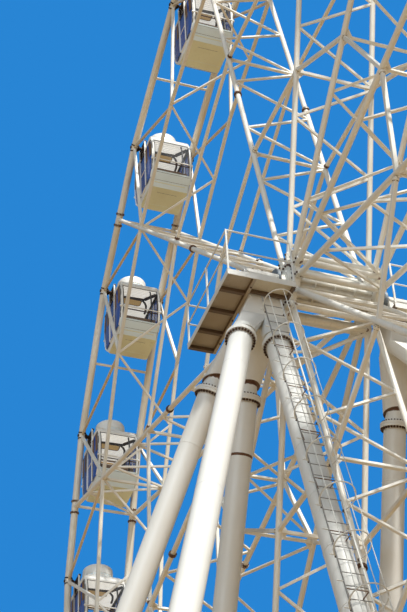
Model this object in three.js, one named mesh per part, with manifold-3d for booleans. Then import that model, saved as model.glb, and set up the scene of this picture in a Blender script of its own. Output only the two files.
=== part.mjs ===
import * as THREE from 'three';
import { ConvexGeometry } from 'three/addons/geometries/ConvexGeometry.js';
import { mergeVertices } from 'three/addons/utils/BufferGeometryUtils.js';
import Module from 'manifold-3d';

// Giant wheel, in millimetres. The origin is on the ground below the middle of the axle,
// +Z is up, the wheel turns about Y, and its two rims lie at -Y (near) and +Y (far).

const wasm = await Module();
wasm.setup();

const DEG = Math.PI / 180;
const GAP = 0.3;
const WELD = 0.05;

// Wheel
const HUB_HEIGHT = 22500;
const WHEEL_TURN = 12.7;
const SPOKES = 12;
const SECTOR = 360 / SPOKES;
const CABIN_STEP = SECTOR / 2;
const CABINS = 2 * SPOKES;
const AXLE_RADIUS = 16800;
const INNER_RING = 13660;
const HOOP_RADII = [5050, 9460];
const SIDE = 870;
const RIM_MID = AXLE_RADIUS * Math.cos(CABIN_STEP / 2 * DEG);
const QUARTERS = 4;
const QUARTER_SECTORS = SPOKES / QUARTERS;

// Tubes, as the radius to a corner of their section
const OUTER_TUBE = 108;
const INNER_TUBE = 68;
const HEAVY_LACE = 58;
const LIGHT_LACE = 46;
const SPOKE_TUBE = 66;
const SPOKE_STRUT = 46;
const SPOKE_LACE = 38;
const LACE_SHIFT = 45;
const HOOP_TUBE = 56;

// Hub
const HUB_FLAT = 520;
const HUB_PLATE = 130;
const HUB_STRUT_AT = 640;
const DRUM_RADIUS = 390;
const SHAFT_RADIUS = 130;
const SHAFT_END = 1960;

// Cabin, about its own pin: half its length in x at each height, from the floor up to the roof
const CABIN_SIDE = [
  [470, -1960], [800, -1600], [885, -1150], [885, -680], [790, -300], [730, -150], [450, 70],
];
const CABIN_HALF_WIDTH = 600;
const CABIN_DECK = -1880;
const CABIN_SILL = -1550;
const CABIN_HEAD = -330;
const CABIN_TOP = 70;
const CABIN_WALL = 50;
const CABIN_POST = 95;
const COOLER_RADIUS = 500;
const COOLER_TOP = 490;
const PIN_RADIUS = 36;
const BEARING_FACE = 700;
const BEARING_HALF = 78;

// Supports
const LEG_SIDES = 10;
const LEG_RADIUS = 228;
const LEG_FLANGE_RADIUS = 300;
const LEG_FLANGE = 55;
const LEG_TOP = { x: 853, z: -2390 };
const LEG_LEAN = 0.352;
const LEG_OUTER = { y: 2335, lean: 0.3 };
const LEG_INNER_NEAR = { y: 1600, lean: 0.042 };
const LEG_INNER_FAR = { y: 1540, lean: 0 };
const FOOT_RADIUS = 420;
const FOOT_THICK = 60;
const HEAD_BOX = { x: 300, inner: 1180, outer: 1860, low: -760, high: -20 };
const HEAD_WAIST = { inner: 1100, outer: 2030, low: -1150 };
const HEAD_COVER = { radius: 220, inner: 1250, outer: 1800 };
const HEAD_COLLAR = { radius: 300, inner: 1120, outer: 1200 };
const HEAD_BORE = 133;
const TRUNK = { back: -30, innerEnd: 1600, outerStart: 1500, half: 250, low: -2130 };

// Service platform beside each head
const DECK_TOP = -600;
const DECK_THICK = 30;
const DECK_BEAM = 110;
const DECK_BEAM_WIDTH = 70;
const DECK = { rear: -1630, front: 760, landing: 330, outer: 2460, walk: 1860, inner: 1050 };
const RAIL_HEIGHT = 1080;
const RAIL_TUBE = 24;

// Ladder up the inner leg on the front side
const LADDER_TOP = -1000;
const LADDER_WIDTH = 380;
const LADDER_OFF = 400;
const LADDER_SHIFT = 100;
const STILE = 26;
const RUNG = 14;
const BRACKET = 24;
const RUNG_PITCH = 300;
const LADDER_FOOT = 300;

const UP = new THREE.Vector3(0, 1, 0);

function solidOf(geometry) {
  const plain = geometry.index ? geometry.toNonIndexed() : geometry.clone();
  for (const name of Object.keys(plain.attributes)) {
    if (name !== 'position') plain.deleteAttribute(name);
  }
  const merged = mergeVertices(plain, 1e-3);
  return new wasm.Manifold(new wasm.Mesh({
    numProp: 3,
    vertProperties: new Float32Array(merged.attributes.position.array),
    triVerts: new Uint32Array(merged.index.array),
  }));
}

// The surface of a solid, with corners closer than WELD made one
function geometryOf(solid) {
  const mesh = solid.getMesh();
  const points = [];
  const merged = [];
  for (let index = 0; index < mesh.vertProperties.length; index += 3) {
    const point = new THREE.Vector3(...mesh.vertProperties.slice(index, index + 3));
    const same = points.findIndex((other) => other.distanceTo(point) < WELD);
    merged.push(same < 0 ? points.push(point) - 1 : same);
  }
  const faces = [];
  for (let first = 0; first < mesh.triVerts.length; first += 3) {
    const [a, b, c] = [0, 1, 2].map((step) => merged[mesh.triVerts[first + step]]);
    if (a !== b && b !== c && c !== a) faces.push(a, b, c);
  }
  const geometry = new THREE.BufferGeometry().setFromPoints(points);
  geometry.setIndex(faces);
  geometry.computeVertexNormals();
  return geometry;
}

function join(solids) {
  return solids.reduce((whole, next) => whole.add(next));
}

// The largest of the bodies that a cut leaves
function mainBody(solid) {
  const bodies = solid.decompose();
  return bodies.reduce((big, next) => (next.volume() > big.volume() ? next : big));
}

// A straight tube from a to b; "flat" is a direction that one flat of the tube faces
function bar(a, b, radius, sides = 6, flat = new THREE.Vector3(0, 1, 0)) {
  const from = new THREE.Vector3(...a);
  const to = new THREE.Vector3(...b);
  const along = to.clone().sub(from);
  const length = along.length();
  along.normalize();
  let face = flat.clone().addScaledVector(along, -flat.dot(along));
  if (face.length() < 0.1) face = new THREE.Vector3(1, 0, 0).addScaledVector(along, -along.x);
  face.normalize();
  const side = new THREE.Vector3().crossVectors(along, face);
  const geometry = new THREE.CylinderGeometry(radius, radius, length, sides);
  geometry.rotateY(Math.PI / sides);
  const basis = new THREE.Matrix4().makeBasis(side, along, face);
  geometry.applyMatrix4(basis);
  geometry.translate(...from.add(to).multiplyScalar(0.5).toArray());
  return solidOf(geometry);
}

function block(x0, x1, y0, y1, z0, z1) {
  const geometry = new THREE.BoxGeometry(x1 - x0, y1 - y0, z1 - z0);
  geometry.translate((x0 + x1) / 2, (y0 + y1) / 2, (z0 + z1) / 2);
  return solidOf(geometry);
}

// A point of the wheel: radius, side and angle about the hub
function onWheel(radius, y, degrees) {
  return [radius * Math.cos(degrees * DEG), y, radius * Math.sin(degrees * DEG)];
}

// The point that lies a given way from a along the line to b
function towards(a, b, distance) {
  const line = new THREE.Vector3(...b).sub(new THREE.Vector3(...a)).setLength(distance);
  return line.add(new THREE.Vector3(...a)).toArray();
}

function turned(solid, degrees) {
  return solid.rotate([0, -degrees, 0]);
}

// Everything on the far side of a plane through the axle, used to trim a wheel piece
function halfSpace(degrees, beyond) {
  const reach = 2 * AXLE_RADIUS;
  const slab = beyond > 0
    ? block(-reach, reach, -reach, reach, 0, reach)
    : block(-reach, reach, -reach, reach, -reach, 0);
  return turned(slab, degrees);
}

const SPOKE_END = RIM_MID - OUTER_TUBE * Math.cos(Math.PI / 6) - GAP;

// The two long tubes of the spoke that lies along +X
function spokeTubes(from, grow = 0) {
  const facing = new THREE.Vector3(0, 1, 0);
  return join([-SIDE, SIDE].map((y) => bar([from, y, 0], [SPOKE_END, y, 0], SPOKE_TUBE + grow, 6, facing)));
}

// One spoke: a flat lattice girder with the hoop tubes that it carries to the next spoke
function spokeSolid() {
  const from = HUB_FLAT + GAP;
  const stations = [HUB_STRUT_AT, ...HOOP_RADII, INNER_RING, SPOKE_END - SPOKE_STRUT];
  const facing = new THREE.Vector3(0, 0, 1);
  const bars = [spokeTubes(from)];
  for (const x of stations) {
    bars.push(bar([x, -SIDE, 0], [x, SIDE, 0], SPOKE_STRUT, 4, facing));
  }
  for (let bay = 0; bay + 1 < stations.length; bay += 1) {
    const steps = bay === stations.length - 2 ? 2 : 4;
    const start = stations[bay] + LACE_SHIFT;
    const run = (stations[bay + 1] - LACE_SHIFT - start) / steps;
    for (let step = 0; step < steps; step += 1) {
      const y = step % 2 === 0 ? SIDE : -SIDE;
      const x = start + step * run;
      bars.push(bar([x, y, 0], [x + run, -y, 0], SPOKE_LACE, 4, facing));
    }
  }
  const next = halfSpace(SECTOR, 1).add(turned(spokeTubes(from, GAP), SECTOR));
  const hoops = [];
  for (const radius of HOOP_RADII) {
    for (const y of [-SIDE, SIDE]) {
      hoops.push(bar(onWheel(radius, y, 0), onWheel(radius, y, SECTOR), HOOP_TUBE, 4));
    }
  }
  return join(bars).add(join(hoops).subtract(next));
}

// One flat side of a quarter of the rim, from one spoke to the third after it
function rimSide(y) {
  const bars = [];
  const radial = (degrees) => new THREE.Vector3(...onWheel(1, 0, degrees));
  const steps = 2 * QUARTER_SECTORS;
  const start = onWheel(RIM_MID, y, 0);
  const finish = onWheel(RIM_MID, y, steps * CABIN_STEP);
  let last = start;
  for (let step = 0; step < steps; step += 1) {
    const angle = (step + 0.5) * CABIN_STEP;
    const axle = onWheel(AXLE_RADIUS, y, angle);
    const before = onWheel(INNER_RING, y, step * CABIN_STEP);
    const after = onWheel(INNER_RING, y, (step + 1) * CABIN_STEP);
    const lightFoot = towards(before, after, 2 * LACE_SHIFT);
    const heavyFoot = towards(after, before, 2 * LACE_SHIFT);
    bars.push(bar(last, axle, OUTER_TUBE, 6, radial(step * CABIN_STEP)));
    bars.push(bar(before, after, INNER_TUBE, 4));
    bars.push(bar(axle, heavyFoot, HEAVY_LACE, 4));
    bars.push(bar(lightFoot, axle, LIGHT_LACE, 4));
    bars.push(bearing(y, angle));
    last = axle;
  }
  bars.push(bar(last, finish, OUTER_TUBE, 6, radial(steps * CABIN_STEP)));
  return join(bars);
}

// The block on the outer tube that a cabin's pin turns in
function bearing(y, degrees) {
  const sign = Math.sign(y);
  const low = Math.min(sign * BEARING_FACE, sign * SIDE);
  const high = Math.max(sign * BEARING_FACE, sign * SIDE);
  const half = BEARING_HALF;
  return turned(block(AXLE_RADIUS - half, AXLE_RADIUS + half, low, high, -half, half), degrees);
}

// A quarter of one rim, clear of the spokes that run through it and of the next quarters
function rimQuarter(y) {
  const spoke = spokeTubes(HOOP_RADII[1] + 1000, GAP);
  const trim = [];
  for (let sector = 0; sector <= QUARTER_SECTORS; sector += 1) {
    trim.push(turned(spoke, sector * SECTOR));
  }
  const seam = GAP / 2;
  trim.push(halfSpace(0, -1).translate([0, 0, seam]));
  trim.push(turned(halfSpace(0, 1).translate([0, 0, -seam]), QUARTER_SECTORS * SECTOR));
  return mainBody(rimSide(y).subtract(join(trim)));
}

// The shaft with the two plates that the spokes are bolted to, and the drum between them
function hubSolid() {
  const parts = [bar([0, -SHAFT_END, 0], [0, SHAFT_END, 0], SHAFT_RADIUS, 16, new THREE.Vector3(1, 0, 0))];
  const facing = new THREE.Vector3(1, 0, 0);
  parts.push(bar([0, -SIDE, 0], [0, SIDE, 0], DRUM_RADIUS, SPOKES, facing));
  const corner = HUB_FLAT / Math.cos(Math.PI / SPOKES);
  for (const y of [-SIDE, SIDE]) {
    parts.push(bar([0, y - HUB_PLATE / 2, 0], [0, y + HUB_PLATE / 2, 0], corner, SPOKES, facing));
  }
  return join(parts);
}

function profilePrism(points, halfWidth) {
  const shape = new THREE.Shape(points.map(([x, z]) => new THREE.Vector2(x, z)));
  const geometry = new THREE.ExtrudeGeometry(shape, { depth: 2 * halfWidth, bevelEnabled: false });
  geometry.rotateX(Math.PI / 2);
  geometry.translate(0, halfWidth, 0);
  return solidOf(geometry);
}

// The hollow of a cabin between two heights, set in from its side walls
function cabinHollow(inset, halfWidth, low, high) {
  const right = CABIN_SIDE.map(([x, z]) => [x - inset, z]);
  const left = right.map(([x, z]) => [-x, z]).reverse();
  const reach = 2 * COOLER_RADIUS;
  const band = block(-reach, reach, -reach, reach, low, high);
  return profilePrism([...right, ...left], halfWidth).intersect(band);
}

// A cabin: an open car with posts at its corners, a roof, and a cooler on the roof
function cabinSolid() {
  const width = CABIN_HALF_WIDTH;
  const openWidth = width - CABIN_POST;
  const reach = 2 * width;
  const shell = cabinHollow(0, width, CABIN_SIDE[0][1], CABIN_TOP)
    .subtract(cabinHollow(CABIN_WALL, width - CABIN_WALL, CABIN_DECK, CABIN_HEAD))
    .subtract(block(-reach, reach, -openWidth, openWidth, CABIN_SILL, CABIN_HEAD))
    .subtract(cabinHollow(CABIN_POST, reach, CABIN_SILL, CABIN_HEAD));
  const facing = new THREE.Vector3(1, 0, 0);
  const cooler = bar([0, 0, CABIN_TOP - 40], [0, 0, COOLER_TOP], COOLER_RADIUS, 8, facing);
  const end = BEARING_FACE - GAP;
  const pin = bar([0, -end, 0], [0, end, 0], PIN_RADIUS, 6, facing);
  return join([shell, cooler, pin]);
}

// One leg, given by its side (front or rear, near or far) and whether it is the outer one
function legLine(front, side, outer) {
  const inner = side < 0 ? LEG_INNER_NEAR : LEG_INNER_FAR;
  const { y, lean } = outer ? LEG_OUTER : inner;
  const top = new THREE.Vector3(front * LEG_TOP.x, side * y, LEG_TOP.z);
  const down = new THREE.Vector3(front * LEG_LEAN, side * lean, -1);
  return { top, down };
}

function along(line, drop) {
  return line.top.clone().addScaledVector(line.down, drop).toArray();
}

const TO_GROUND = HUB_HEIGHT + LEG_TOP.z;

// The tube of a leg with the flange at its top, run on a little below the ground
function legTube(line, grow = 0) {
  const length = (TO_GROUND + 300) * line.down.length();
  const radius = LEG_RADIUS + grow;
  const profile = [
    [0, GAP], [LEG_FLANGE_RADIUS, GAP], [LEG_FLANGE_RADIUS, GAP + LEG_FLANGE], [radius, GAP + LEG_FLANGE],
    [radius, length], [0, length],
  ];
  const points = profile.map(([x, y]) => new THREE.Vector2(x, -y)).reverse();
  const geometry = new THREE.LatheGeometry(points, LEG_SIDES);
  const axis = line.down.clone().normalize().negate();
  geometry.applyQuaternion(new THREE.Quaternion().setFromUnitVectors(UP, axis));
  geometry.translate(...line.top.toArray());
  return solidOf(geometry);
}

function legSolid(line) {
  const foot = line.top.clone().addScaledVector(line.down, TO_GROUND);
  const facing = new THREE.Vector3(1, 0, 0);
  const under = [foot.x, foot.y, -HUB_HEIGHT];
  const upper = [foot.x, foot.y, -HUB_HEIGHT + FOOT_THICK];
  const plate = bar(under, upper, FOOT_RADIUS, 8, facing);
  const low = FOOT_THICK / 2 - HUB_HEIGHT;
  const ground = block(foot.x - 2000, foot.x + 2000, foot.y - 2000, foot.y + 2000, low - 2000, low);
  return legTube(line).subtract(ground).add(plate);
}

// The four corners of a level rectangle
function rectangle(x0, x1, y0, y1, z) {
  return [[x0, y0], [x1, y0], [x1, y1], [x0, y1]].map(([x, y]) => new THREE.Vector3(x, y, z));
}

// A flat-sided body between two level rectangles
function taper(upper, lower) {
  return solidOf(new ConvexGeometry([...upper, ...lower]));
}

// The flat-sided trunk from the head's waist to a leg, with the round stub and the flange under it
function trunkSolids(front, side, outer) {
  const line = legLine(front, side, outer);
  const start = outer ? TRUNK.outerStart : HEAD_WAIST.inner;
  const end = outer ? HEAD_WAIST.outer : TRUNK.innerEnd;
  const upper = rectangle(front * TRUNK.back, front * HEAD_BOX.x, side * start, side * end, HEAD_WAIST.low);
  const [x, y, z] = along(line, LEG_TOP.z - TRUNK.low);
  const lower = rectangle(x - TRUNK.half, x + TRUNK.half, y - TRUNK.half, y + TRUNK.half, z);
  const rise = -LEG_FLANGE / line.down.length();
  const within = along(line, LEG_TOP.z - TRUNK.low - LEG_RADIUS);
  const facing = new THREE.Vector3(1, 0, 0);
  return [
    taper(upper, lower),
    bar(within, along(line, rise / 2), LEG_RADIUS, LEG_SIDES, facing),
    bar(along(line, rise), along(line, 0), LEG_FLANGE_RADIUS, LEG_SIDES, facing),
  ];
}

// The head over four legs: a bearing box with its round cover, and a tapering trunk to each leg's flange
function headSolid(side) {
  const box = HEAD_BOX;
  const waist = HEAD_WAIST;
  const facing = new THREE.Vector3(1, 0, 0);
  const round = ({ inner, outer, radius }, sides) => (
    bar([0, side * inner, 0], [0, side * outer, 0], radius, sides, facing)
  );
  const top = rectangle(-box.x, box.x, side * box.inner, side * box.outer, box.high);
  const neck = rectangle(-box.x, box.x, side * box.inner, side * box.outer, box.low);
  const base = rectangle(-box.x, box.x, side * waist.inner, side * waist.outer, waist.low);
  const parts = [taper(top, neck), taper(neck, base), round(HEAD_COVER, 12), round(HEAD_COLLAR, 12)];
  for (const front of [-1, 1]) {
    for (const outer of [false, true]) {
      parts.push(...trunkSolids(front, side, outer));
    }
  }
  const bore = { inner: HEAD_COLLAR.inner - 50, outer: box.outer + 50, radius: HEAD_BORE };
  return join(parts).subtract(round(bore, 16));
}

// The L-shaped service platform with its beams and railing
function platformSolid(side) {
  const lift = (x0, x1, ya, yb, z0, z1) => {
    const [y0, y1] = [side * ya, side * yb].sort((a, b) => a - b);
    return block(x0, x1, y0, y1, z0, z1);
  };
  const deckLow = DECK_TOP - DECK_THICK;
  const beamLow = DECK_TOP - DECK_BEAM;
  const wide = DECK_BEAM_WIDTH;
  const walk = DECK.walk + GAP;
  const parts = [
    lift(DECK.rear, DECK.front, DECK.outer, walk, deckLow, DECK_TOP),
    lift(DECK.landing, DECK.front, walk, DECK.inner, deckLow, DECK_TOP),
    lift(DECK.rear, DECK.front, DECK.outer, DECK.outer - wide, beamLow, DECK_TOP + 20),
    lift(DECK.rear, DECK.front, walk, walk + wide, beamLow, DECK_TOP),
    lift(DECK.front - wide, DECK.front, DECK.outer, DECK.inner, beamLow, DECK_TOP + 20),
    lift(DECK.landing, DECK.landing + wide, DECK.outer, DECK.inner, beamLow, DECK_TOP),
    lift(DECK.landing, DECK.front, DECK.inner, DECK.inner + wide, beamLow, DECK_TOP),
  ];
  const bays = 3;
  const pitch = (DECK.landing - DECK.rear) / bays;
  for (let bay = 0; bay < bays; bay += 1) {
    const x = DECK.rear + bay * pitch;
    parts.push(lift(x, x + wide, DECK.outer, walk, beamLow, DECK_TOP));
  }
  const inset = 30;
  const outerY = side * (DECK.outer - inset);
  const frontX = DECK.front - inset;
  const rearX = DECK.rear + inset;
  const top = DECK_TOP + RAIL_HEIGHT;
  const posts = [
    [rearX, side * (walk + inset)], [rearX, outerY], [(rearX + frontX) / 2, outerY], [frontX, outerY],
    [frontX, side * (DECK.inner + inset)],
  ];
  for (const [x, y] of posts) {
    parts.push(bar([x, y, DECK_TOP - 20], [x, y, top], RAIL_TUBE, 4, new THREE.Vector3(1, 0, 0)));
  }
  const path = [posts[0], posts[1], posts[3], posts[4]];
  for (const z of [top - RAIL_TUBE, DECK_TOP + RAIL_HEIGHT / 2]) {
    for (let run = 0; run + 1 < path.length; run += 1) {
      const [ax, ay] = path[run];
      const [bx, by] = path[run + 1];
      parts.push(bar([ax, ay, z], [bx, by, z], RAIL_TUBE, 4, new THREE.Vector3(0, 0, 1)));
    }
  }
  return join(parts);
}

// The ladder up the front inner leg, held off it by brackets
function ladderSolid(side) {
  const line = legLine(1, side, false);
  const unit = line.down.clone().normalize();
  const off = new THREE.Vector3(-unit.z, 0, unit.x).normalize();
  const place = (drop, y, out) => line.top.clone()
    .addScaledVector(line.down, drop)
    .addScaledVector(off, out)
    .add(new THREE.Vector3(0, side * LADDER_SHIFT + y, 0));
  const low = TO_GROUND - LADDER_FOOT;
  const facing = new THREE.Vector3(0, 1, 0);
  const parts = [];
  const half = LADDER_WIDTH / 2;
  for (const y of [-half, half]) {
    const upper = place(LADDER_TOP, y, LADDER_OFF).toArray();
    const lower = place(low, y, LADDER_OFF).toArray();
    parts.push(bar(upper, lower, STILE, 4, facing));
  }
  const slope = line.down.length();
  const rungs = Math.floor((low - LADDER_TOP) * slope / RUNG_PITCH);
  for (let rung = 1; rung < rungs; rung += 1) {
    const drop = LADDER_TOP + rung * RUNG_PITCH / slope;
    const a = place(drop, -half, LADDER_OFF).toArray();
    const b = place(drop, half, LADDER_OFF).toArray();
    parts.push(bar(a, b, RUNG, 3, off));
  }
  const brackets = 5;
  for (let step = 0; step < brackets; step += 1) {
    const drop = 600 + step * (low - 1200) / (brackets - 1);
    for (const y of [-half, half]) {
      parts.push(bar(along(line, drop), place(drop, y, LADDER_OFF).toArray(), BRACKET, 4, facing));
    }
  }
  return join(parts).subtract(legTube(line, GAP));
}

function paint(color, roughness = 0.5, metalness = 0) {
  return new THREE.MeshStandardMaterial({ color, roughness, metalness });
}

const white = paint(0xeee9dc);
const rimWhite = paint(0xe9e2d0);
const shaftSteel = paint(0x8d8f92, 0.4, 0.6);
const cabinWhite = paint(0xf1efe8, 0.35);
const deckGrey = paint(0xbfb7a8);
const ladderGrey = paint(0xd9dad8);

const wheel = new THREE.Group();
wheel.position.set(0, 0, HUB_HEIGHT);

function place(solid, material, name, degrees = 0) {
  const mesh = new THREE.Mesh(solid, material);
  mesh.name = name;
  mesh.rotation.y = -degrees * DEG;
  wheel.add(mesh);
  return mesh;
}

const two = (number) => String(number).padStart(2, '0');

place(geometryOf(hubSolid()), shaftSteel, 'hub_and_shaft', WHEEL_TURN);

const spokeGeometry = geometryOf(spokeSolid());
for (let index = 0; index < SPOKES; index += 1) {
  place(spokeGeometry, white, `spoke_${two(index + 1)}`, WHEEL_TURN + index * SECTOR);
}

const nearGeometry = geometryOf(rimQuarter(-SIDE));
const farGeometry = geometryOf(rimQuarter(SIDE));
for (let index = 0; index < QUARTERS; index += 1) {
  const turn = WHEEL_TURN + index * QUARTER_SECTORS * SECTOR;
  place(nearGeometry, rimWhite, `rim_near_${index + 1}`, turn);
  place(farGeometry, rimWhite, `rim_far_${index + 1}`, turn);
}

const cabinGeometry = geometryOf(cabinSolid());
for (let index = 0; index < CABINS; index += 1) {
  const angle = WHEEL_TURN + (index + 0.5) * CABIN_STEP;
  const mesh = place(cabinGeometry, cabinWhite, `cabin_${two(index + 1)}`);
  mesh.position.set(...onWheel(AXLE_RADIUS, 0, angle));
}

const sides = [['near', -1], ['far', 1]];
for (const [word, side] of sides) {
  place(geometryOf(headSolid(side)), white, `${word}_head`);
  place(geometryOf(platformSolid(side)), deckGrey, `${word}_platform`);
  for (const [end, front] of [['front', 1], ['rear', -1]]) {
    for (const [where, outer] of [['outer', true], ['inner', false]]) {
      place(geometryOf(legSolid(legLine(front, side, outer))), white, `${word}_leg_${end}_${where}`);
    }
  }
}
place(geometryOf(ladderSolid(-1)), ladderGrey, 'near_ladder');

const group = new THREE.Group();
group.add(wheel);

export default group;
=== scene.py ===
"""Looks of a giant wheel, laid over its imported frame.

Sizes are in metres. +Z is up and the wheel turns about Y, with its near rim at -Y.
The shapes follow the same driving sizes as the solids they stand for.
"""

import math

import bpy
from mathutils import Matrix, Vector


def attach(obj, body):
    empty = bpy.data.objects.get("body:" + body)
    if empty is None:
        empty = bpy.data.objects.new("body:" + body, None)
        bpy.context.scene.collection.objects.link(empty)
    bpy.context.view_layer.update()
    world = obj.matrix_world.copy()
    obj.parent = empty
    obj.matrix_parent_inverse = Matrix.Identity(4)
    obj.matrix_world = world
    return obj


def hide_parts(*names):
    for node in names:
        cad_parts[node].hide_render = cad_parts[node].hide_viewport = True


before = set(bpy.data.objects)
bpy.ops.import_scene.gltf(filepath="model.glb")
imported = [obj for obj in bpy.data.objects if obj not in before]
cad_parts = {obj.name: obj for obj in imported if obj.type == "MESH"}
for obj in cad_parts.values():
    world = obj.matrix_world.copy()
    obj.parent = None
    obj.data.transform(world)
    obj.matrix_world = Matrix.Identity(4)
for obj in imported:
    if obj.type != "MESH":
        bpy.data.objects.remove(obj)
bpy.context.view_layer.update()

# Wheel
HUB_HEIGHT = 22.5
WHEEL_TURN = 12.7
SPOKES = 12
SECTOR = 360 / SPOKES
CABIN_STEP = SECTOR / 2
CABINS = 2 * SPOKES
AXLE_RADIUS = 16.8
INNER_RING = 13.66
HOOP_RADII = (5.05, 9.46)
CHORD_JOINT = 7.7
SIDE = 0.87
RIM_MID = AXLE_RADIUS * math.cos(math.radians(CABIN_STEP / 2))
QUARTERS = 4
QUARTER_SECTORS = SPOKES // QUARTERS

# Lattice: radii of the round tubes, half widths of the square ones
OUTER_TUBE = 0.1
INNER_BAR = 0.046
HEAVY_LACE = 0.041
LIGHT_LACE = 0.033
TIE = 0.03
SPOKE_TUBE = 0.06
SPOKE_STRUT = 0.034
SPOKE_LACE = 0.028
HOOP_BAR = 0.04
HUB_STRUT = 0.066
LACE_SHIFT = 0.045
BRIM = 0.002

# Bolted joints: radius, thickness of one disc, bolts, size of a bolt
RIM_FLANGE = (0.13, 0.016, 12, 0.012)
CHORD_FLANGE = (0.095, 0.03, 8, 0.012)
HOOP_FLANGE = (0.064, 0.02, 6, 0.009)
RIM_JOINT_OFF = 0.17

# Hub
HUB_FLAT = 0.52
HUB_PLATE = 0.13
HUB_STRUT_AT = 0.64
SHAFT_RADIUS = 0.13
SHAFT_END = 1.885
DRUM_CORE = 0.3
DRUM_RODS = 14
DRUM_ROD = 0.042
DRUM_ROD_AT = 0.335
DRUM_BAND = 0.375
DRUM_BANDS_AT = (-0.42, 0.0, 0.42)

# Cabin, about its own pin: height and half its length there, from the crown down to the floor
CABIN_PROFILE = [
    (0.07, 0.45), (-0.15, 0.73), (-0.30, 0.79), (-0.40, 0.822), (-0.55, 0.862),
    (-0.68, 0.88), (-0.80, 0.883), (-1.10, 0.882), (-1.25, 0.868), (-1.40, 0.842),
    (-1.50, 0.822), (-1.60, 0.796), (-1.68, 0.735), (-1.955, 0.475),
]
CABIN_WIDE = 0.6
CABIN_FLOOR = -1.955
CABIN_DECK = -1.88
CABIN_SILL = -1.585
CABIN_HEAD = -0.33
CABIN_RAIL = -1.185
CABIN_END_FOOT = -1.75
CABIN_DOOR_HALF = 0.215
WINDOW_LEVELS = [CABIN_HEAD + 0.01, -0.4, -0.55, -0.68, -0.8, -0.95, -1.1, -1.25, -1.4, -1.5, CABIN_SILL]
END_LEVELS = [CABIN_HEAD, -0.5, -0.8, -1.1, -1.4, -1.6, CABIN_END_FOOT]
COOLER_LOUVRES = 28
PIN_RADIUS = 0.036
PIN_END = 0.69

# Supports
LEG_RADIUS = 0.225
LEG_FLANGE_RADIUS = 0.295
LEG_FLANGE = 0.055
LEG_TOP_X = 0.853
LEG_TOP_Z = -2.39
LEG_LEAN = 0.352
LEG_OUTER = (2.335, 0.3)
LEG_INNER = {-1: (1.6, 0.042), 1: (1.54, 0.0)}
LEG_BOLTS = 28
LEG_BOLT_RING = 0.261
LEG_SIDES = 48
LEG_SEAMS = (1.15, 5.2, 9.2, 13.2, 17.2)
STUB_RADIUS = 0.185
FOOT_RADIUS = 0.38
FOOT_THICK = 0.06
FOOT_RIBS = 12
TO_GROUND = HUB_HEIGHT + LEG_TOP_Z
HEAD_BOX = {"x": 0.296, "inner": 1.18, "outer": 1.86, "low": -0.76, "high": -0.02}
HEAD_WAIST = {"inner": 1.1, "outer": 2.03, "low": -1.15}
HEAD_COVER = {"radius": 0.165, "inner": 1.25, "outer": 1.8}
HEAD_COLLAR = {"radius": 0.295, "inner": 1.12, "outer": 1.2}
TRUNK = {"back": -0.03, "inner_end": 1.6, "outer_start": 1.5, "half": 0.245, "low": -2.13}

# Service platform
DECK_TOP = -0.6
DECK_THICK = 0.03
DECK_BEAM = 0.11
DECK_BEAM_WIDTH = 0.08
DECK = {"rear": -1.63, "front": 0.76, "landing": 0.33, "outer": 2.46, "walk": 1.86, "inner": 1.05}
DECK_CROSS_BEAMS = (-1.07, -0.42, 0.22)
RAIL_HEIGHT = 1.08
RAIL_TUBE = 0.02

# Ladder
LADDER_WIDTH = 0.38
LADDER_OFF = 0.4
LADDER_SHIFT = 0.1
RUNG = 0.0075
LADDER_ARM = 0.010
LADDER_HOOP = 0.011
LADDER_STRAP = 0.0075
RUNG_PITCH = 0.3
LADDER_TOP = -1.0
LADDER_FOOT = 0.3
CAGE_TOP = -0.52
CAGE_HALF = 0.285
CAGE_DEEP = 0.3
CAGE_MIDDLE = 0.6
CAGE_PITCH = 1.2
LADDER_TIE_PITCH = 1.35
LADDER_BAR_PITCH = 0.6

FLOOR_RADIUS = 450
SMOOTH_ANGLE = 32

# Camera, fitted to the picture
IMAGE = (407, 612)
FOCAL_PIXELS = 1604.69
CAMERA_PLACE = Vector((21.823, -11.149, 1.406))
CAMERA_YAW = 158.83
CAMERA_PITCH = 40.70
CAMERA_ROLL = -3.20

# Which ends of a skin are closed, the first and the last
OPEN = (False, False)
FIRST_END = (True, False)
LAST_END = (False, True)
BOTH_ENDS = (True, True)

HUB = Vector((0, 0, HUB_HEIGHT))
X = Vector((1, 0, 0))
Y = Vector((0, 1, 0))
Z = Vector((0, 0, 1))


# Materials

def new_group(name, inputs, outputs):
    """An empty node group with the sockets named in inputs and outputs."""
    group = bpy.data.node_groups.new(name, "ShaderNodeTree")
    for label, kind, value in inputs:
        socket = group.interface.new_socket(label, in_out="INPUT", socket_type=kind)
        socket.default_value = value
    for label, kind in outputs:
        group.interface.new_socket(label, in_out="OUTPUT", socket_type=kind)
    group.nodes.new("NodeGroupInput").name = "in"
    group.nodes.new("NodeGroupOutput").name = "out"
    return group


def set_sockets(tree, target, values):
    """Gives each socket its plain value, or the link that feeds it."""
    for label, value in values.items():
        if isinstance(value, (int, float, tuple)):
            target.inputs[label].default_value = value
        else:
            tree.links.new(value, target.inputs[label])


def node(tree, kind, sockets=None, **settings):
    made = tree.nodes.new(kind)
    for key, value in settings.items():
        setattr(made, key, value)
    set_sockets(tree, made, sockets or {})
    return made


def object_place(tree):
    return node(tree, "ShaderNodeTexCoord").outputs["Object"]


def noise(tree, place, scale, detail=4.0, roughness=0.55):
    sockets = {"Vector": place, "Scale": scale, "Detail": detail, "Roughness": roughness}
    return node(tree, "ShaderNodeTexNoise", sockets).outputs["Fac"]


def ramp(tree, source, low, high):
    """Source stretched so that low gives 0 and high gives 1."""
    sockets = {"Value": source, "From Min": low, "From Max": high}
    return node(tree, "ShaderNodeMapRange", sockets, clamp=True).outputs["Result"]


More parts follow.
